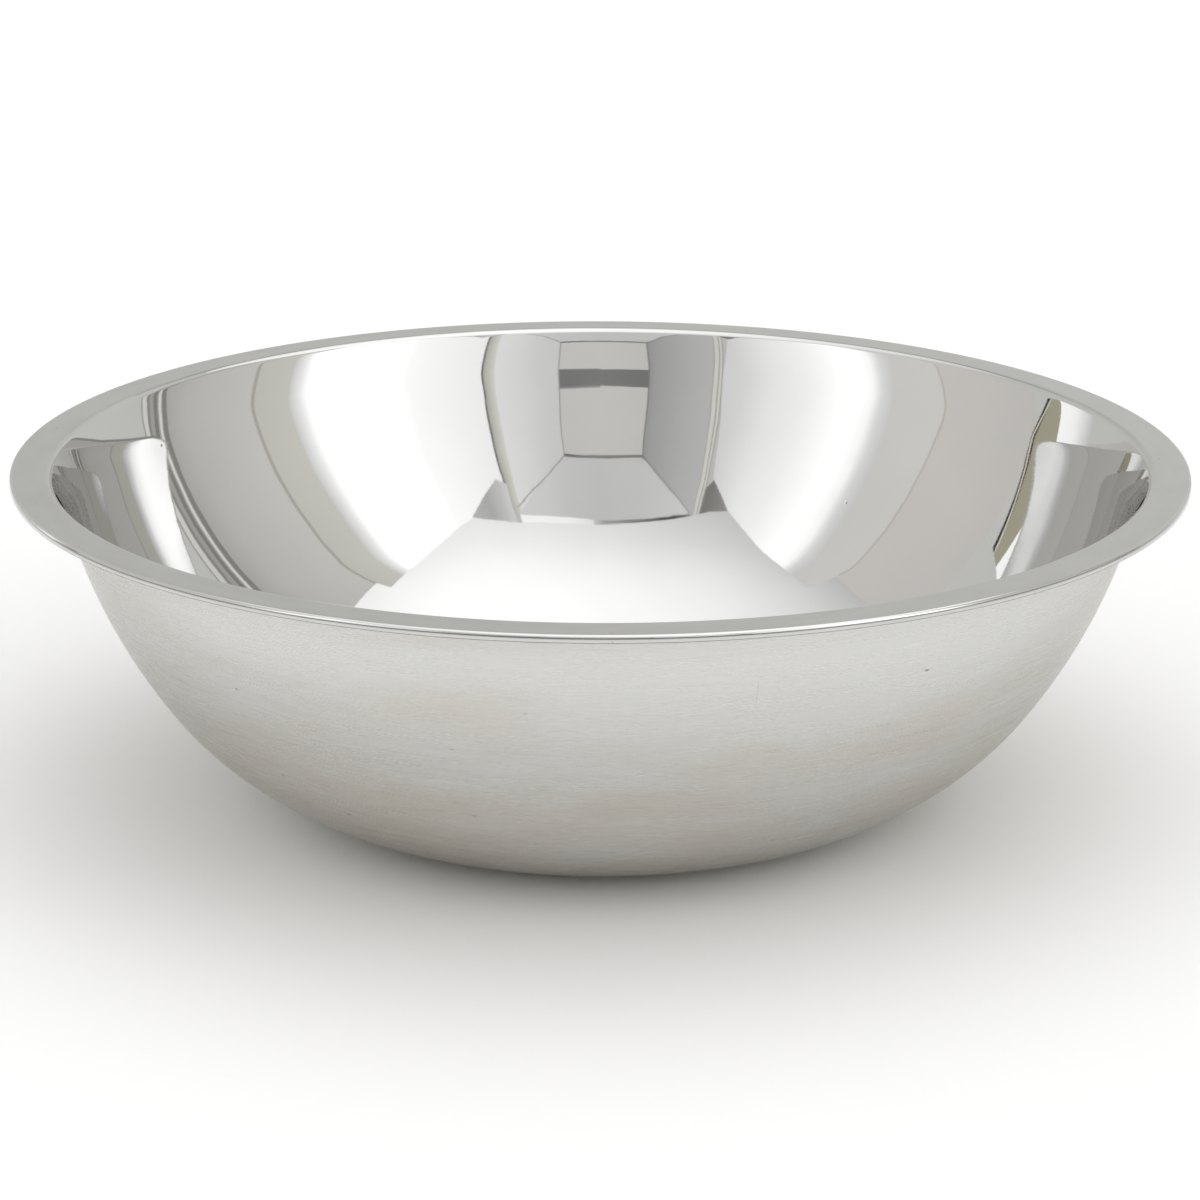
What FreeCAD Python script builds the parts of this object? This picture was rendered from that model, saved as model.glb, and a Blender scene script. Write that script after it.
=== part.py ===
import FreeCAD, Part
import math
import os

# A mixing bowl, drawn from one round blank of stainless steel sheet.
# Millimetres, +Z up. The origin is the centre of the base's underside, which the bowl stands on.

# Overall
OVERALL_DIAMETER = 406.0      # across the turned-down edge
HEIGHT = 120.0                # underside of the base to the top of the rim
SHEET = 0.8                   # thickness of the sheet, the same all over

# Base and wall. Radii are those of the outer face. Slopes are in degrees above level.
BASE_FLAT_RADIUS = 77.0       # flat disc that the bowl stands on
CORNER_RADIUS = 86.0          # from the base, level, to CORNER_SLOPE
CORNER_SLOPE = 30.0
LOWER_WALL_RADIUS = 110.0     # from CORNER_SLOPE to LOWER_WALL_SLOPE
LOWER_WALL_SLOPE = 54.0
UPPER_WALL_RADIUS = 190.0     # from LOWER_WALL_SLOPE to WALL_SLOPE
WALL_SLOPE = 73.7             # the steepest part of the wall

# Rim, where the sheet turns the other way
FLARE_RADIUS = 82.0           # from WALL_SLOPE out to FLARE_SLOPE, below the rim
FLARE_SLOPE = 63.0
BEND_RADIUS = 2.2             # under the rim, from FLARE_SLOPE to level
EDGE_RADIUS = 0.5             # under the edge, where the rim turns down
EDGE_DEPTH = 2.5              # top of the rim to the cut edge of the sheet

LEVEL = 0.0
STRAIGHT_DOWN = -90.0


def along(slope):
    """Unit direction of the sheet, outwards and up, at a slope in degrees."""
    angle = math.radians(slope)
    return FreeCAD.Vector(math.cos(angle), 0, math.sin(angle))


def outward(slope):
    """Unit normal of the sheet at a slope, away from the inside of the bowl."""
    angle = math.radians(slope)
    return FreeCAD.Vector(math.sin(angle), 0, -math.cos(angle))


def rise(radius, slope_from, slope_to):
    """Height that an arc of the sheet climbs between two slopes."""
    return abs(radius * (along(slope_from).x - along(slope_to).x))


def wall_arcs():
    """Arcs of the base corner and wall, and the point where they end.

    Each arc is its centre, outer face radius and two slopes.
    """
    stages = (
        (CORNER_RADIUS, LEVEL, CORNER_SLOPE),
        (LOWER_WALL_RADIUS, CORNER_SLOPE, LOWER_WALL_SLOPE),
        (UPPER_WALL_RADIUS, LOWER_WALL_SLOPE, WALL_SLOPE),
    )
    arcs = []
    foot = FreeCAD.Vector(BASE_FLAT_RADIUS, 0, 0)
    for radius, slope_from, slope_to in stages:
        centre = foot - outward(slope_from) * radius
        arcs.append((centre, radius, slope_from, slope_to))
        foot = centre + outward(slope_to) * radius
    return arcs, foot


def rim_arcs(wall_end):
    """Arcs of the flare, bend and edge. Their radii are negative: they curve away from the inside."""
    climb = rise(FLARE_RADIUS, WALL_SLOPE, FLARE_SLOPE) + rise(BEND_RADIUS, FLARE_SLOPE, LEVEL)
    straight = (HEIGHT - SHEET - wall_end.z - climb) / along(WALL_SLOPE).z
    flare_foot = wall_end + along(WALL_SLOPE) * straight
    flare = flare_foot + outward(WALL_SLOPE) * FLARE_RADIUS
    bend = flare - outward(FLARE_SLOPE) * (FLARE_RADIUS - BEND_RADIUS)
    from_edge = SHEET + EDGE_RADIUS
    edge = FreeCAD.Vector(OVERALL_DIAMETER / 2 - from_edge, 0, HEIGHT - from_edge)
    return [
        (flare, -FLARE_RADIUS, WALL_SLOPE, FLARE_SLOPE),
        (bend, -BEND_RADIUS, FLARE_SLOPE, LEVEL),
        (edge, -EDGE_RADIUS, LEVEL, STRAIGHT_DOWN),
    ]


def sheet_face(arcs, depth):
    """Edges of one face of the sheet, from the axis to the cut edge, and the point where they end.

    depth is how far the face lies inside the outer face: 0, or the thickness of the sheet.
    """
    edges = []
    last = FreeCAD.Vector(0, 0, depth)
    for centre, outer_radius, slope_from, slope_to in arcs:
        radius = outer_radius - depth
        slopes = (slope_from, (slope_from + slope_to) / 2, slope_to)
        start, middle, end = (centre + outward(slope) * radius for slope in slopes)
        if not start.isEqual(last, 1e-6):
            edges.append(Part.LineSegment(last, start).toShape())
        edges.append(Part.Arc(start, middle, end).toShape())
        last = end
    end = FreeCAD.Vector(last.x, 0, HEIGHT - EDGE_DEPTH)
    edges.append(Part.LineSegment(last, end).toShape())
    return edges, end


def bowl():
    """The whole bowl: the outline of the sheet turned about the axis."""
    arcs, wall_end = wall_arcs()
    arcs += rim_arcs(wall_end)
    outside, outside_end = sheet_face(arcs, 0.0)
    inside, inside_end = sheet_face(arcs, SHEET)
    origin = FreeCAD.Vector(0, 0, 0)
    cut_edge = Part.LineSegment(outside_end, inside_end).toShape()
    on_axis = Part.LineSegment(origin, FreeCAD.Vector(0, 0, SHEET)).toShape()
    edges = Part.sortEdges(outside + [cut_edge] + inside + [on_axis])[0]
    return Part.Face(Part.Wire(edges)).revolve(origin, FreeCAD.Vector(0, 0, 1), 360)


os.makedirs("parts", exist_ok=True)
bowl().exportStep("parts/bowl.step")
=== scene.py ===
"""A stainless steel mixing bowl, mirror inside and satin outside, in a white light tent."""

from math import cos, hypot, radians, sin, tan

import bmesh
import bpy
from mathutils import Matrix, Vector


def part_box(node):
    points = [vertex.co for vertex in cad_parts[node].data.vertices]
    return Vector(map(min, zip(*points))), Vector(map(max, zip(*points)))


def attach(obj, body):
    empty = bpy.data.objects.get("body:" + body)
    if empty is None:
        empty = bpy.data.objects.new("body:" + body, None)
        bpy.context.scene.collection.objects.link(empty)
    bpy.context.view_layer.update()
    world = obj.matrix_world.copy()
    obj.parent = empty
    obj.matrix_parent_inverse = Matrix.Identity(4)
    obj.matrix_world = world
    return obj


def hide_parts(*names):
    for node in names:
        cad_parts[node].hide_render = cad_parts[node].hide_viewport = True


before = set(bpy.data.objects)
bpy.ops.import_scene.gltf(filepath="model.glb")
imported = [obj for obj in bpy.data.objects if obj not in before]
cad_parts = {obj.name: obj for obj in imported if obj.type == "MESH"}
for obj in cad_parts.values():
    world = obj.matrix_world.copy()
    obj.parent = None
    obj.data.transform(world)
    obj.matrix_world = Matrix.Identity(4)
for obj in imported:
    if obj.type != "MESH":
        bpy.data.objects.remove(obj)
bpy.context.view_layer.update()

# The bowl, in metres and degrees. Its width and height are the frame's own. The wall is a chain of
# arcs, from the flat base through the corner, the wall and the flare to the bend of the rim.
TOP_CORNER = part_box("bowl")[1]
RIM_RADIUS = TOP_CORNER.x
HEIGHT = TOP_CORNER.z
SHEET = 0.0008
BASE_FLAT_RADIUS = 0.077
CORNER_RADIUS = 0.086
CORNER_SLOPE = 30.0
LOWER_WALL_RADIUS = 0.110
LOWER_WALL_SLOPE = 54.0
UPPER_WALL_RADIUS = 0.190
WALL_SLOPE = 73.7
FLARE_RADIUS = 0.082
FLARE_SLOPE = 63.0
BEND_RADIUS = 0.0022
EDGE_RADIUS = 0.0005
EDGE_DEPTH = 0.0025
FLAT_RIM_WIDTH = 0.0105
CUT_ROUNDING = 0.00022
CUT_HEIGHT = HEIGHT - EDGE_DEPTH
# Nothing but the turned edge is this close to the bowl's full radius.
TURNED_EDGE_REACH = 0.002
# The normal of a face on the underside of the rim points down at least this far.
UNDERSIDE_NORMAL = -0.2

# How finely the mesh is divided, round the bowl and along its outline.
SEGMENTS = 288
WALL_STEP = 0.0022
FLARE_STEP = WALL_STEP / 2
EDGE_STEP = 0.0006
BEND_STEP = EDGE_STEP / 3
# Points closer than this are at the same place.
SAME_PLACE = 1e-5

# The camera, aimed along +Y.
CAMERA_DISTANCE = 1.218
CAMERA_HEIGHT = 0.4521
CAMERA_TILT = 17.553
CAMERA_ROLL = 0.166
CAMERA_LENS = 109.0
CAMERA_SENSOR = 36.0

# The tent is far enough away to look the same from every point of the bowl. Its walls are given by
# azimuth and elevation in degrees, as seen from the bowl.
TENT_RADIUS = 40.0
TENT_HEIGHT = 30.0
LAYER_STEP = 0.04
CEILING_RINGS = 8
# Elevations: just under the floor's horizon, and just over the ceiling's edge at the sides.
FOOT = -1
HEAD = 54


# ---------------------------------------------------------------- the bowl's outline

def arc_stations(start, radius, first_slope, last_slope, step):
    """Points (distance from the axis, height) along an arc. A negative radius curves back out."""
    turn = radians(last_slope - first_slope)
    count = max(2, round(abs(radius * turn) / step))
    centre_out = start[0] - radius * sin(radians(first_slope))
    centre_up = start[1] + radius * cos(radians(first_slope))
    stations = []
    for i in range(1, count + 1):
        slope = radians(first_slope + (last_slope - first_slope) * i / count)
        stations.append((centre_out + radius * sin(slope), centre_up - radius * cos(slope)))
    return stations


def line_stations(start, end, step):
    """Points (distance from the axis, height) along a straight run."""
    out, up = end[0] - start[0], end[1] - start[1]
    count = max(1, round(hypot(out, up) / step))
    return [(start[0] + out * i / count, start[1] + up * i / count) for i in range(1, count + 1)]


def wall_arcs():
    """The inner face's arcs up to the straight of the wall: radius, first and last slope, step."""
    return [
        (CORNER_RADIUS - SHEET, 0.0, CORNER_SLOPE, WALL_STEP),
        (LOWER_WALL_RADIUS - SHEET, CORNER_SLOPE, LOWER_WALL_SLOPE, WALL_STEP),
        (UPPER_WALL_RADIUS - SHEET, LOWER_WALL_SLOPE, WALL_SLOPE, WALL_STEP),
    ]


def rim_arcs():
    """The inner face's arcs from the wall to the flat rim, in the same way."""
    return [
        (-(FLARE_RADIUS + SHEET), WALL_SLOPE, FLARE_SLOPE, FLARE_STEP),
        (-(BEND_RADIUS + SHEET), FLARE_SLOPE, 0.0, BEND_STEP),
    ]


def rise(arcs):
    """How far a chain of arcs climbs."""
    return sum(
        radius * (cos(radians(first)) - cos(radians(last))) for radius, first, last, _ in arcs)


def inner_outline():
    """The inner face's outline, from the edge of the flat base to the cut edge of the rim."""
    points = [(BASE_FLAT_RADIUS, SHEET)]
    for arc in wall_arcs():
        points += arc_stations(points[-1], *arc)
    climb = HEIGHT - points[-1][1] - rise(rim_arcs())
    straight_end = (points[-1][0] + climb / tan(radians(WALL_SLOPE)), points[-1][1] + climb)
    points += line_stations(points[-1], straight_end, WALL_STEP)
    for arc in rim_arcs():
        points += arc_stations(points[-1], *arc)
    edge_radius = EDGE_RADIUS + SHEET
    points += line_stations(points[-1], (RIM_RADIUS - edge_radius, HEIGHT), WALL_STEP)
    points += arc_stations(points[-1], -edge_radius, 0.0, -90.0, BEND_STEP)
    points += line_stations(points[-1], (RIM_RADIUS, CUT_HEIGHT), EDGE_STEP)
    return points


# ---------------------------------------------------------------- modelling helpers

def deselect_all():
    bpy.ops.object.select_all(action="DESELECT")


def select_edges(mesh, wanted):
    """In edit mode, selects the edges whose two ends are both wanted places."""
    bpy.ops.mesh.select_all(action="DESELECT")
    bpy.ops.mesh.select_mode(type="EDGE")
    shape = bmesh.from_edit_mesh(mesh)
    for edge in shape.edges:
        edge.select_set(all(wanted(v.co) for v in edge.verts))
    shape.select_flush_mode()
    bmesh.update_edit_mesh(mesh)


def apply_modifiers(piece):
    for modifier in list(piece.modifiers):
        bpy.ops.object.modifier_apply(modifier=modifier.name)


def from_axis(place):
    return hypot(place.x, place.y)


def on_turned_edge(place):
    return from_axis(place) > RIM_RADIUS - TURNED_EDGE_REACH


# ---------------------------------------------------------------- the bowl

def pull_rings(points):
    """Pulls the open edge out and up, ring by ring, along the outline."""
    for (radius, height), (next_radius, next_height) in zip(points, points[1:]):
        bpy.ops.mesh.extrude_edges_move()
        scale = next_radius / radius
        bpy.ops.transform.resize(value=(scale, scale, 1.0), center_override=(0.0, 0.0, 0.0))
        bpy.ops.transform.translate(value=(0.0, 0.0, next_height - height))


def make_bowl():
    """One sheet: a flat disc drawn out along the outline, thickened outward, its cut rounded."""
    deselect_all()
    bpy.ops.mesh.primitive_circle_add(
        vertices=SEGMENTS, radius=BASE_FLAT_RADIUS, fill_type="TRIFAN", location=(0.0, 0.0, SHEET))
    bowl = bpy.context.object
    bowl.name = "bowl_shell"
    bpy.ops.object.transform_apply(location=True, rotation=True, scale=True)
    bpy.ops.object.mode_set(mode="EDIT")
    select_edges(bowl.data, lambda place: from_axis(place) > BASE_FLAT_RADIUS - SAME_PLACE)
    pull_rings(inner_outline())
    bpy.ops.mesh.select_all(action="SELECT")
    bpy.ops.mesh.normals_make_consistent(inside=False)
    bpy.ops.object.mode_set(mode="OBJECT")
    face_up(bowl)
    thickness = bowl.modifiers.new("sheet", "SOLIDIFY")
    thickness.thickness = SHEET
    thickness.offset = -1.0
    thickness.use_even_offset = True
    thickness.use_quality_normals = True
    apply_modifiers(bowl)
    round_cut_edge(bowl)
    return bowl


def face_up(bowl):
    """Turns the sheet's faces so that the base looks up."""
    if bowl.data.polygons[0].normal.z < 0:
        bpy.ops.object.mode_set(mode="EDIT")
        bpy.ops.mesh.select_all(action="SELECT")
        bpy.ops.mesh.flip_normals()
        bpy.ops.object.mode_set(mode="OBJECT")


def round_cut_edge(bowl):
    """Rounds both edges of the rim's cut."""
    bpy.ops.object.mode_set(mode="EDIT")
    select_edges(
        bowl.data, lambda place: abs(place.z - CUT_HEIGHT) < SAME_PLACE and on_turned_edge(place))
    keep_rings(bowl.data)
    bpy.ops.mesh.bevel(offset=CUT_ROUNDING, segments=3, profile=0.5)
    bpy.ops.object.mode_set(mode="OBJECT")


def keep_rings(mesh):
    """Of the selected edges, keeps those that run round the bowl."""
    shape = bmesh.from_edit_mesh(mesh)
    for edge in shape.edges:
        if edge.select:
            first, second = edge.verts
            edge.select_set(abs(from_axis(first.co) - from_axis(second.co)) < SAME_PLACE)
    bmesh.update_edit_mesh(mesh)


def paint_faces(bowl, inside, rim, outside, edge):
    """Gives each face the finish of the side that it is on."""
    finishes = [inside, rim, outside, edge]
    for finish in finishes:
        bowl.data.materials.append(finish)
    bend_start = RIM_RADIUS - EDGE_RADIUS - FLAT_RIM_WIDTH - BEND_RADIUS
    for face in bowl.data.polygons:
        place = face.center
        radius = from_axis(place)
        looks_in = (face.normal.x * place.x + face.normal.y * place.y) < 0
        looks_down = face.normal.z <= UNDERSIDE_NORMAL
        face.use_smooth = True
        if radius < bend_start:
            top_side = face.normal.z > 0 and (looks_in or radius < BASE_FLAT_RADIUS)
            chosen = inside if top_side else outside
        elif on_turned_edge(place):
            near_cut = place.z < CUT_HEIGHT + CUT_ROUNDING
            # The underside and inner side of the turned edge take the cut edge's finish, whose
            # darker colour there is painted shade.
            chosen = edge if looks_down or looks_in or near_cut else rim
        else:
            chosen = outside if looks_down else rim
        face.material_index = finishes.index(chosen)


# ---------------------------------------------------------------- finishes

class Finish:
    """A node material under construction, with short ways to add and join nodes."""

    def __init__(self, name):
        self.material = bpy.data.materials.new(name)
        self.material.use_nodes = True
        self.tree = self.material.node_tree
        self.steel = self.tree.nodes["Principled BSDF"]
        self.steel.inputs["Metallic"].default_value = 1.0
        self.place = self.node("ShaderNodeTexCoord").outputs["Object"]
        parts = self.node("ShaderNodeSeparateXYZ")
        self.join(self.place, parts.inputs[0])
        x, y, self.height = parts.outputs
        squares = self.math("ADD", self.math("MULTIPLY", x, x), self.math("MULTIPLY", y, y))
        self.radius = self.math("MAXIMUM", self.math("SQRT", squares), 0.001)
        self.way_x = self.math("DIVIDE", x, self.radius)
        self.way_y = self.math("DIVIDE", y, self.radius)

    def node(self, kind, **settings):
        made = self.tree.nodes.new(kind)
        for name, value in settings.items():
            setattr(made, name, value)
        return made

    def join(self, output, target):
        self.tree.links.new(output, target)

    def math(self, operation, first, second=0.0):
        made = self.node("ShaderNodeMath", operation=operation)
        for socket, value in zip(made.inputs, (first, second)):
            if isinstance(value, (int, float)):
                socket.default_value = value
            else:
                self.join(value, socket)
        return made.outputs[0]

    def spun(self, around, across):
        """A pattern vector drawn out round the bowl, as polishing it while it turns leaves it. A
        mark is the bowl's radius over 'around' long, and one over 'across' metres wide."""
        vector = self.node("ShaderNodeCombineXYZ")
        self.join(self.math("MULTIPLY", self.way_x, around), vector.inputs[0])
        self.join(self.math("MULTIPLY", self.way_y, around), vector.inputs[1])
        outward_and_up = self.math("ADD", self.radius, self.height)
        self.join(self.math("MULTIPLY", outward_and_up, across), vector.inputs[2])
        return vector.outputs[0]

    def scaled(self, factor):
        """The plain place times a factor, for marks that run in no direction."""
        mapping = self.node("ShaderNodeMapping")
        mapping.inputs["Scale"].default_value = (factor, factor, factor)
        self.join(self.place, mapping.inputs["Vector"])
        return mapping.outputs[0]

    def noise(self, vector, detail=2.0, roughness=0.5):
        made = self.node("ShaderNodeTexNoise")
        made.inputs["Scale"].default_value = 1.0
        made.inputs["Detail"].default_value = detail
        made.inputs["Roughness"].default_value = roughness
        self.join(vector, made.inputs["Vector"])
        return made.outputs[0]

    def marks(self, vector, size):
        """Scattered small marks: 1 on a mark and 0 off it."""
        cells = self.node("ShaderNodeTexVoronoi")
        cells.inputs["Scale"].default_value = 1.0
        self.join(vector, cells.inputs["Vector"])
        return self.between(cells.outputs["Distance"], 1.0, 0.0, size * 0.4, size)

    def between(self, value, low, high, from_low=0.0, from_high=1.0):
        """Spreads a value over a new range."""
        made = self.node("ShaderNodeMapRange")
        made.inputs["From Min"].default_value = from_low
        made.inputs["From Max"].default_value = from_high
        made.inputs["To Min"].default_value = low
        made.inputs["To Max"].default_value = high
        self.join(value, made.inputs["Value"])
        return made.outputs[0]

    def tinted(self, value, dark, light, from_low=0.3, from_high=0.7):
        """A colour between two, by a value."""
        ramp = self.node("ShaderNodeValToRGB")
        ramp.color_ramp.elements[0].position = from_low
        ramp.color_ramp.elements[0].color = (*dark, 1.0)
        ramp.color_ramp.elements[1].position = from_high
        ramp.color_ramp.elements[1].color = (*light, 1.0)
        self.join(value, ramp.inputs[0])
        return ramp.outputs[0]

    def stained(self, colour, amount, stain):
        """A colour with another laid over it where the amount is 1."""
        mix = self.node("ShaderNodeMix", data_type="RGBA")
        self.join(amount, mix.inputs["Factor"])
        self.join(colour, mix.inputs[6])
        mix.inputs[7].default_value = (*stain, 1.0)
        return mix.outputs[2]

    def bump(self, height, distance, strength, under=None):
        """Raises the surface by a height pattern, on top of an earlier bump."""
        made = self.node("ShaderNodeBump")
        made.inputs["Distance"].default_value = distance
        made.inputs["Strength"].default_value = strength
        self.join(height, made.inputs["Height"])
        if under is not None:
            self.join(under, made.inputs["Normal"])
        return made.outputs[0]

    def set(self, **sockets):
        """Joins patterns to the shader's sockets."""
        for name, output in sockets.items():
            self.join(output, self.steel.inputs[name.replace("_", " ")])


def mirror_inside():
    """Buffed steel: nearly a mirror, with faint buffing lines, a slow waviness and a few pits."""
    finish = Finish("mirror_polished_steel")
    cloud = finish.noise(finish.scaled(16.0), detail=4.0)
    colour = finish.tinted(cloud, (0.600, 0.602, 0.595), (0.642, 0.640, 0.634))
    pits = finish.marks(finish.scaled(34.0), 0.030)
    colour = finish.stained(colour, pits, (0.22, 0.21, 0.20))
    lines = finish.noise(finish.spun(7.0, 900.0), detail=3.0)
    waves = finish.bump(finish.noise(finish.scaled(12.0), detail=3.0), 0.0006, 0.35)
    rubbing = finish.noise(finish.spun(9.0, 140.0))
    buffing = finish.bump(rubbing, 0.00002, 0.30, under=waves)
    dents = finish.bump(finish.math("MULTIPLY", pits, -1.0), 0.0002, 0.6, under=buffing)
    finish.set(Base_Color=colour, Roughness=finish.between(lines, 0.010, 0.055), Normal=dents)
    return finish.material


def polished_rim():
    """The rim: polished like the inside, a little more worn, with a painted dark reflection in a
    line part way down the turned edge."""
    finish = Finish("polished_rim_steel")
    cloud = finish.noise(finish.spun(9.0, 120.0), detail=4.0)
    colour = finish.tinted(cloud, (0.585, 0.585, 0.575), (0.635, 0.633, 0.622))
    nicks = finish.marks(finish.spun(20.0, 140.0), 0.05)
    colour = finish.stained(colour, nicks, (0.30, 0.29, 0.27))
    # Painted reflection: a dark line part way down the turned edge, standing in for the dark
    # surroundings that it reflects.
    line_foot = finish.between(finish.height, 0.0, 0.65, HEIGHT - 0.00150, HEIGHT - 0.00120)
    line_top = finish.between(finish.height, 1.0, 0.0, HEIGHT - 0.00100, HEIGHT - 0.00075)
    painted_dark_reflection = finish.math("MULTIPLY", line_foot, line_top)
    colour = finish.stained(colour, painted_dark_reflection, (0.16, 0.155, 0.15))
    lines = finish.noise(finish.spun(6.0, 1300.0), detail=3.0)
    ripple = finish.bump(finish.noise(finish.scaled(30.0)), 0.0002, 0.2)
    brushed = finish.bump(lines, 0.00002, 0.3, under=ripple)
    finish.set(Base_Color=colour, Roughness=finish.between(lines, 0.03, 0.09), Normal=brushed)
    return finish.material


def cut_edge_and_painted_shade():
    """The sheared edge of the sheet and, behind it, painted shade on the underside and inner side
    of
    the turned edge: dull, darker and rougher.
    """
    finish = Finish("cut_steel_and_painted_shade")
    grain = finish.noise(finish.spun(60.0, 2500.0), detail=3.0)
    # Painted shade: this darker colour also covers the underside and inner side of the turned edge.
    colour = finish.tinted(grain, (0.16, 0.155, 0.15), (0.30, 0.29, 0.275))
    torn = finish.bump(grain, 0.0001, 0.5)
    finish.set(Base_Color=colour, Roughness=finish.between(grain, 0.35, 0.6), Normal=torn)
    return finish.material


def satin_outside():
    """The outside: fine brushing round the bowl, warm clouded patches, a painted reflection that is
    lighter and cooler higher up and warmer and darker lower down, small nicks and scratches, and a
    patchy darker band close under the rim. Seen edge on, the brushing takes the shine off."""
    finish = Finish("satin_brushed_steel")
    finish.steel.inputs["Anisotropic"].default_value = 0.40
    finish.steel.inputs["Specular Tint"].default_value = (0.83, 0.83, 0.82, 1.0)
    cloud = finish.noise(finish.spun(1.7, 26.0), detail=4.0, roughness=0.55)
    # Painted reflection: the colour is lighter and cooler higher up the bowl and warmer and darker
    # lower down.
    painted_reflection_by_height = finish.between(finish.height, -0.05, 0.12, 0.045, 0.105)
    colour = finish.tinted(
        finish.math("ADD", cloud, painted_reflection_by_height), (0.644, 0.609, 0.558), (0.686, 0.684, 0.668),
        from_low=0.34, from_high=0.64)
    streaks = finish.noise(finish.spun(2.2, 300.0), detail=4.0, roughness=0.6)
    darker_streaks = finish.between(streaks, 0.0, 0.07, 0.50, 0.75)
    colour = finish.stained(colour, darker_streaks, (0.42, 0.40, 0.375))
    nicks = finish.marks(finish.spun(7.0, 70.0), 0.045)
    colour = finish.stained(colour, nicks, (0.22, 0.21, 0.20))
    scratches = finish.math("MULTIPLY", finish.marks(finish.spun(60.0, 6.0), 0.05), 0.4)
    colour = finish.stained(colour, scratches, (0.30, 0.29, 0.28))
    # Darker in a patchy band from a little under the turned edge up to it.
    under_rim_band = finish.between(finish.height, 0.0, 0.75, HEIGHT - 0.0085, HEIGHT - 0.0065)
    patchy = finish.between(finish.noise(finish.spun(14.0, 30.0), detail=3.0), 0.1, 1.0, 0.35, 0.6)
    darker_under_rim = finish.math("MULTIPLY", under_rim_band, patchy)
    colour = finish.stained(colour, darker_under_rim, (0.26, 0.25, 0.24))
    lines = finish.noise(finish.spun(4.0, 1500.0), detail=3.0)
    tangent = finish.node("ShaderNodeTangent", direction_type="RADIAL", axis="Z")
    broad = finish.bump(streaks, 0.00002, 0.15)
    brushed = finish.bump(lines, 0.00001, 0.3, under=broad)
    dents = finish.bump(finish.math("MULTIPLY", nicks, -1.0), 0.0003, 0.5, under=brushed)
    finish.set(Base_Color=colour, Roughness=finish.between(lines, 0.23, 0.33), Normal=dents,
               Tangent=tangent.outputs[0])
    return finish.material


# ---------------------------------------------------------------- the studio

def hung_at(azimuth, elevation, layer):
    """A point of the tent's upright walls, in the direction that it is seen from the bowl. Azimuth
    0 is towards the camera and 90 to its right. Each layer hangs a step nearer than the last."""
    radius = TENT_RADIUS * (1.0 - LAYER_STEP * layer)
    a = radians(azimuth)
    return Vector((sin(a), -cos(a), tan(radians(elevation)))) * radius


def glow_material(name, tint):
    """Light of one tint, as strong at each point as the mesh's own glow says."""
    material = bpy.data.materials.new(name)
    material.use_nodes = True
    tree = material.node_tree
    tree.nodes.clear()
    glow = tree.nodes.new("ShaderNodeAttribute")
    glow.attribute_name = "glow"
    light = tree.nodes.new("ShaderNodeEmission")
    light.inputs["Color"].default_value = (*tint, 1.0)
    out = tree.nodes.new("ShaderNodeOutputMaterial")
    tree.links.new(glow.outputs["Fac"], light.inputs["Strength"])
    tree.links.new(light.outputs[0], out.inputs["Surface"])
    return material


def hang(name, corners, faces, glows, tint):
    """Hangs a glowing cloth in the studio, out of the camera's own sight."""
    mesh = bpy.data.meshes.new(name)
    mesh.from_pydata(corners, [], faces)
    glow = mesh.attributes.new("glow", "FLOAT", "POINT")
    glow.data.foreach_set("value", glows)
    mesh.materials.append(glow_material(name, tint))
    cloth = bpy.data.objects.new(name, mesh)
    bpy.context.scene.collection.objects.link(cloth)
    cloth.visible_camera = False


def screen(name, columns, tint=(1.0, 1.0, 1.0), layer=1):
    """A screen of upright columns: azimuth, lowest and highest elevation, how brightly it glows
    there and, where a fifth number is given, how many degrees its top leans to the right."""
    corners = []
    glows = []
    for azimuth, low, high, glow, *lean in columns:
        corners += [hung_at(azimuth, low, layer), hung_at(azimuth + sum(lean), high, layer)]
        glows += [glow, glow]
    faces = [(2 * i, 2 * i + 2, 2 * i + 3, 2 * i + 1) for i in range(len(columns) - 1)]
    hang(name, corners, faces, glows, tint)


def strip(name, azimuth, width, low, high, glow, tint=(1.0, 1.0, 1.0), layer=2, lean=0.0):
    """An upright seam, pole or strap. Its top stands 'lean' degrees to the right of its foot."""
    left, right = azimuth - width / 2, azimuth + width / 2
    corners = [
        hung_at(left, low, layer),
        hung_at(right, low, layer),
        hung_at(right + lean, high, layer),
        hung_at(left + lean, high, layer),
    ]
    hang(name, corners, [(0, 1, 2, 3)], [glow] * 4, tint)


def line(name, points, thickness, tint=(1.0, 1.0, 1.0), layer=3):
    """A thin line through points of azimuth, elevation and how brightly it glows there."""
    half = thickness / 2
    columns = [(azimuth, height - half, height + half, glow) for azimuth, height, glow in points]
    screen(name, columns, tint, layer)


def ceiling_glow(way):
    """Brightest straight overhead, and brighter on the right than on the left."""
    return 1.62 - 2.0 * (1.0 - way.z) + 0.42 * way.x


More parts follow.
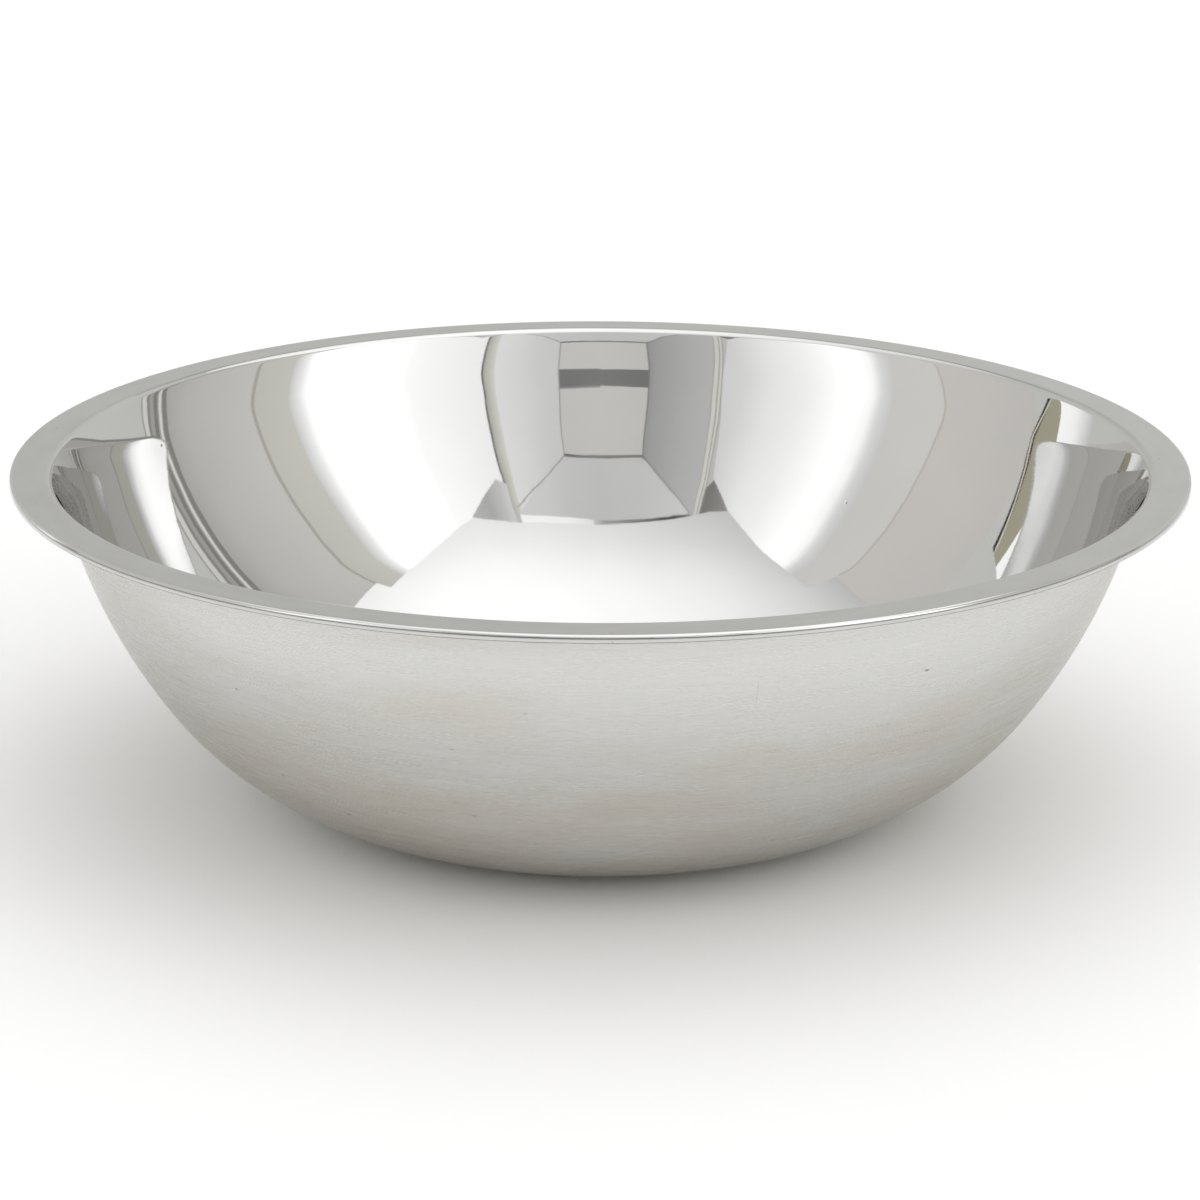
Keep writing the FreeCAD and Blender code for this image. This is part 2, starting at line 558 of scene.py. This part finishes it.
def make_ceiling():
    """The tent's flat translucent top. Its corners are given in plan, right and back, in tent
    heights: nearly a square, turned in further along the front half of each side."""
    front = [(-0.66, -0.785), (-0.56, -0.81), (0.0, -0.79), (0.26, -0.79), (0.635, -0.74)]
    right = [(0.69, -0.63), (0.76, -0.44), (0.76, -0.055), (0.86, -0.045), (0.845, 0.18),
             (0.68, 0.68)]
    back = [(0.375, 0.925), (0.0, 1.0), (-0.52, 0.90), (-0.88, 0.615)]
    left = [(-0.97, 0.22), (-0.98, -0.065), (-0.757, -0.06), (-0.725, -0.43), (-0.695, -0.62)]
    edge = [Vector((*corner, 0.0)) * TENT_HEIGHT for corner in front + right + back + left]
    up = Vector((0.0, 0.0, TENT_HEIGHT))
    count = len(edge)
    corners = [
        place * (1.0 - ring / CEILING_RINGS) + up
        for ring in range(CEILING_RINGS) for place in edge
    ]
    corners.append(up)
    innermost = (CEILING_RINGS - 1) * count
    faces = []
    for ring in range(0, innermost, count):
        for i in range(count):
            j = (i + 1) % count
            faces.append((ring + i, ring + j, ring + count + j, ring + count + i))
    faces += [(innermost + i, innermost + (i + 1) % count, len(corners) - 1) for i in range(count)]
    glows = [ceiling_glow(place.normalized()) for place in corners]
    hang("tent_ceiling", corners, faces, glows, (1.0, 1.0, 0.995))


def make_left_side():
    """From the camera's side to the back: a softbox, a panel, a cloth and the tent's straps."""
    softbox = [
        (-71, FOOT, HEAD, 0.88, -4.5), (-68, FOOT, HEAD, 1.05, -4), (-65.5, FOOT, HEAD, 1.50, -3.5),
        (-61, FOOT, HEAD, 1.74, -3), (-56, FOOT, HEAD, 1.58, -1), (-50, FOOT, 48, 1.40),
        (-41, FOOT, 45, 1.24), (-36, FOOT, 41.5, 1.10), (-26.5, FOOT, 38, 0.98, -5.5)]
    screen("left_softbox", softbox, layer=2)
    screen("left_panel", [(-86, FOOT, HEAD, 0.90), (-70, FOOT, HEAD, 0.88)], (1.0, 0.985, 0.955))
    strip("left_seam", -86, 0.6, 8, 45, 0.72, (1.0, 0.95, 0.86))
    cloth = [(-114, FOOT, 46, 0.80), (-100, FOOT, 46, 0.83), (-86, FOOT, 47, 0.84)]
    screen("left_cloth", cloth, (1.0, 0.965, 0.93))
    strap = [(-122.5, 1, 18, 0.52), (-118, 1, 18, 0.52), (-113.5, 1, 6, 0.52)]
    screen("left_strap", strap, (1.0, 0.94, 0.72), layer=2)
    strip("left_strap_shade", -114, 1.4, 5, 18, 0.06, layer=3, lean=-4.5)
    strip("left_strap_hem", -113, 0.5, 3, 18, 0.95, (1.0, 0.95, 0.80), layer=3, lean=-6.1)
    window = [(-135, 1, 17, 0.76), (-128, 1, 18, 1.36), (-122.5, 1, 18, 1.45)]
    screen("left_window", window, layer=3)


def make_right_side():
    """The same on the other side, where the main softbox is."""
    softbox = [(28, 46, 1.33), (36, HEAD, 1.42), (46, HEAD, 1.56), (54, HEAD, 2.1), (66, HEAD, 2.5),
               (70.5, HEAD, 2.0), (74, HEAD, 1.3), (77, HEAD, 0.9)]
    screen("right_softbox", [(azimuth, FOOT, high, glow) for azimuth, high, glow in softbox],
           layer=2)
    screen("right_panel", [(76, FOOT, HEAD, 0.86), (87, FOOT, HEAD, 0.80)], (1.0, 0.98, 0.90))
    strip("right_seam", 87, 1.0, 4, 49, 0.60, (1.0, 0.95, 0.87))
    cloth = [(87, 0.83), (95, 0.79), (100, 0.77), (107, 0.72), (114, 0.60)]
    screen("right_cloth", [(azimuth, FOOT, 49, glow) for azimuth, glow in cloth], (1.0, 0.98, 0.94))
    strip("right_strap", 118, 8.5, 1, 32, 0.52, (1.0, 0.98, 0.92))
    for name, azimuth, width, glow in (
            ("edge", 114.5, 1.4, 0.33), ("gap", 115.9, 0.8, 0.98), ("fold", 117.4, 1.2, 0.31),
            ("end", 119.7, 0.8, 0.36), ("tape", 121, 1.4, 0.90)):
        strip("right_strap_" + name, azimuth, width, 1, 32, glow, (1.0, 0.99, 0.94), layer=3)


def make_back():
    """The cloth behind the bowl and the shade along its top and foot."""
    cloth = [(113, 0.62), (123, 0.76), (140, 0.79), (155, 0.76), (170, 0.69), (180, 0.65),
             (190, 0.63), (205, 0.70), (220, 0.76), (235, 0.76), (248, 0.80)]
    screen("back_cloth", [(azimuth, FOOT, 50, glow) for azimuth, glow in cloth],
           (1.0, 0.995, 0.96), layer=0)
    high_shade = [(150, 0.72), (162, 0.54), (171, 0.50), (189, 0.50), (198, 0.54), (210, 0.72)]
    screen("back_high_shade", [(azimuth, 35, 50, glow) for azimuth, glow in high_shade])
    foot_shade = [(118, 0.54), (142, 0.52), (160, 0.50), (180, 0.48), (200, 0.60), (218, 0.70),
                  (242, 0.74)]
    screen("back_foot_shade", [(azimuth, FOOT, 4.2, glow) for azimuth, glow in foot_shade],
           (1.0, 0.98, 0.94))
    line("back_foot_line", [(118, 4.3, 0.34), (142, 4.3, 0.32), (160, 4.2, 0.36)], 0.6)


def make_table_edge():
    """The dim edge of the table that the tent stands on, along the front and the sides."""
    edge = [(-118, 3.5, 0.45), (-90, 4.5, 0.34), (-60, 7, 0.24), (60, 7, 0.24), (90, 4.5, 0.34),
            (118, 3.5, 0.45)]
    screen("table_edge", [(azimuth, FOOT, high, glow) for azimuth, high, glow in edge], layer=4)


def make_front_room():
    """The small room that the tent opens into, round the camera: walls, ceiling and corners."""
    back = [(-12, 20, 37, 0.79), (0, 20, 37, 0.83), (10, 20, 37, 0.82)]
    screen("room_back", back, (1.0, 0.985, 0.95))
    back_shade = [(-11.5, FOOT, 20.3, 0.26), (0, FOOT, 20.4, 0.30), (10, FOOT, 20.3, 0.27)]
    screen("room_back_shade", back_shade)
    left = [(-25.5, FOOT, 47.5, 0.70, -4.5), (-22, FOOT, 44, 0.66, -1), (-17, FOOT, 40.5, 0.58),
            (-13, FOOT, 37, 0.52), (-11.5, FOOT, 36, 0.46)]
    screen("room_left", left, layer=3)
    right = [(10, FOOT, 35.5, 0.88), (14, FOOT, 38.5, 0.90), (20, FOOT, 43, 1.02),
             (25.5, FOOT, 47, 1.10)]
    screen("room_right", right, layer=2)
    ceiling = [(-28.5, 46.5, 48, 0.95), (-20, 41.5, 50, 0.88), (-11.5, 36, 51.5, 0.82),
               (0, 36, 52, 0.80), (10, 36, 51.5, 0.84), (17, 40.5, 50.5, 0.92), (26, 46, 50, 0.95)]
    screen("room_ceiling", ceiling)
    strip("room_left_corner", -11.4, 0.35, 0, 36, 0.30, layer=4)
    strip("room_right_corner", 10, 0.30, 0, 35.5, 0.45, layer=4)
    line("room_top_line", [(-11.5, 35.4, 0.30), (0, 36, 0.32), (10, 35.4, 0.22)], 0.7)
    left_top = [(-29, 47, 0.55), (-22.5, 43.3, 0.50), (-17, 39.8, 0.45), (-11.5, 35.4, 0.35)]
    line("room_left_line", left_top, 0.4, layer=4)
    right_top = [(10, 35.4, 0.45), (15.5, 40, 0.55), (20.5, 42.8, 0.55), (26, 45.9, 0.55)]
    line("room_right_line", right_top, 0.4, layer=4)


def make_front_opening():
    """The opening's frame: a post each side, the gap over it and the gathers at its corners."""
    top = [(-29.5, 47, 0.30), (-24, 48.2, 0.10), (-20, 49, 0.14), (-10.5, 50.5, 0.36),
           (-1, 51, 0.55), (2.5, 51, 0.90)]
    line("opening_top_line", top, 0.8)
    gap = [(2.5, 50.5, 51.6, 1.22), (10, 49.6, 51.5, 1.40), (18, 48.6, 50.5, 1.42),
           (26, 47.5, 50, 1.42)]
    screen("opening_top_gap", gap, (0.985, 0.99, 1.0), layer=2)
    strip("left_post", -26.6, 2.3, 0, 47.4, 0.94, (1.0, 0.99, 0.94), layer=4, lean=-4.1)
    for name, azimuth, glow in (("rib", -25.6, 0.60), ("groove", -26.8, 0.52),
                                ("edge", -27.6, 0.55)):
        strip("left_post_" + name, azimuth, 0.3, 0, 47.2, glow, (1.0, 0.95, 0.83), layer=5,
              lean=-4.1)
    post = [(25.2, FOOT, 47, 0.98), (26.6, FOOT, 47, 0.80), (27.8, FOOT, 47, 0.62)]
    screen("right_post", post, (1.0, 0.985, 0.90), layer=3)
    strip("right_post_edge", 28, 0.5, 0, 41, 0.24, (1.0, 0.97, 0.90), layer=4)
    left_gathers = [(-40.5, 44, 45.5, 0.45), (-32.5, 38.5, 47, 0.30), (-29, 43, 47.4, 0.34)]
    screen("left_gathers", left_gathers, (1.0, 0.97, 0.93))
    right_gathers = [(27.5, 40.5, 49.5, 0.95), (30, 39, 49, 0.78), (34, 41.5, 48, 0.62),
                     (40.5, 45.3, 46, 0.70)]
    screen("right_gathers", right_gathers, layer=4)


def make_floor():
    """A pale, matt sweep of card under the bowl."""
    deselect_all()
    bpy.ops.mesh.primitive_plane_add(size=2.0 * TENT_RADIUS)
    floor = bpy.context.object
    floor.name = "floor"
    material = bpy.data.materials.new("white_card")
    material.use_nodes = True
    surface = material.node_tree.nodes["Principled BSDF"]
    surface.inputs["Base Color"].default_value = (0.93, 0.93, 0.93, 1.0)
    surface.inputs["Roughness"].default_value = 0.9
    surface.inputs["Specular IOR Level"].default_value = 0.0
    floor.data.materials.append(material)


def make_world():
    """White where the camera looks past the floor, and soft grey for all that the bowl reflects."""
    world = bpy.data.worlds.new("studio")
    world.use_nodes = True
    tree = world.node_tree
    soft = tree.nodes["Background"]
    soft.inputs["Color"].default_value = (0.75, 0.75, 0.74, 1.0)
    white = tree.nodes.new("ShaderNodeBackground")
    white.inputs["Strength"].default_value = 1.05
    white.inputs["Color"].default_value = (1.0, 1.0, 1.0, 1.0)
    seen = tree.nodes.new("ShaderNodeLightPath")
    mix = tree.nodes.new("ShaderNodeMixShader")
    tree.links.new(seen.outputs["Is Camera Ray"], mix.inputs["Fac"])
    tree.links.new(soft.outputs[0], mix.inputs[1])
    tree.links.new(white.outputs[0], mix.inputs[2])
    tree.links.new(mix.outputs[0], tree.nodes["World Output"].inputs["Surface"])
    bpy.context.scene.world = world


def make_camera():
    lens = bpy.data.cameras.new("camera")
    lens.lens = CAMERA_LENS
    lens.sensor_width = CAMERA_SENSOR
    camera = bpy.data.objects.new("camera", lens)
    bpy.context.scene.collection.objects.link(camera)
    camera.location = (0.0, -CAMERA_DISTANCE, CAMERA_HEIGHT)
    camera.rotation_euler = (radians(90.0 - CAMERA_TILT), 0.0, 0.0)
    camera.rotation_euler.rotate_axis("Z", radians(CAMERA_ROLL))
    bpy.context.scene.camera = camera


bowl = make_bowl()
paint_faces(bowl, mirror_inside(), polished_rim(), satin_outside(), cut_edge_and_painted_shade())
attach(bowl, "root")
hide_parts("bowl")

make_floor()
make_world()
make_ceiling()
make_left_side()
make_right_side()
make_back()
make_table_edge()
make_front_room()
make_front_opening()
make_camera()
bpy.context.scene.view_settings.view_transform = "Standard"
bpy.context.scene.cycles.glossy_bounces = 12
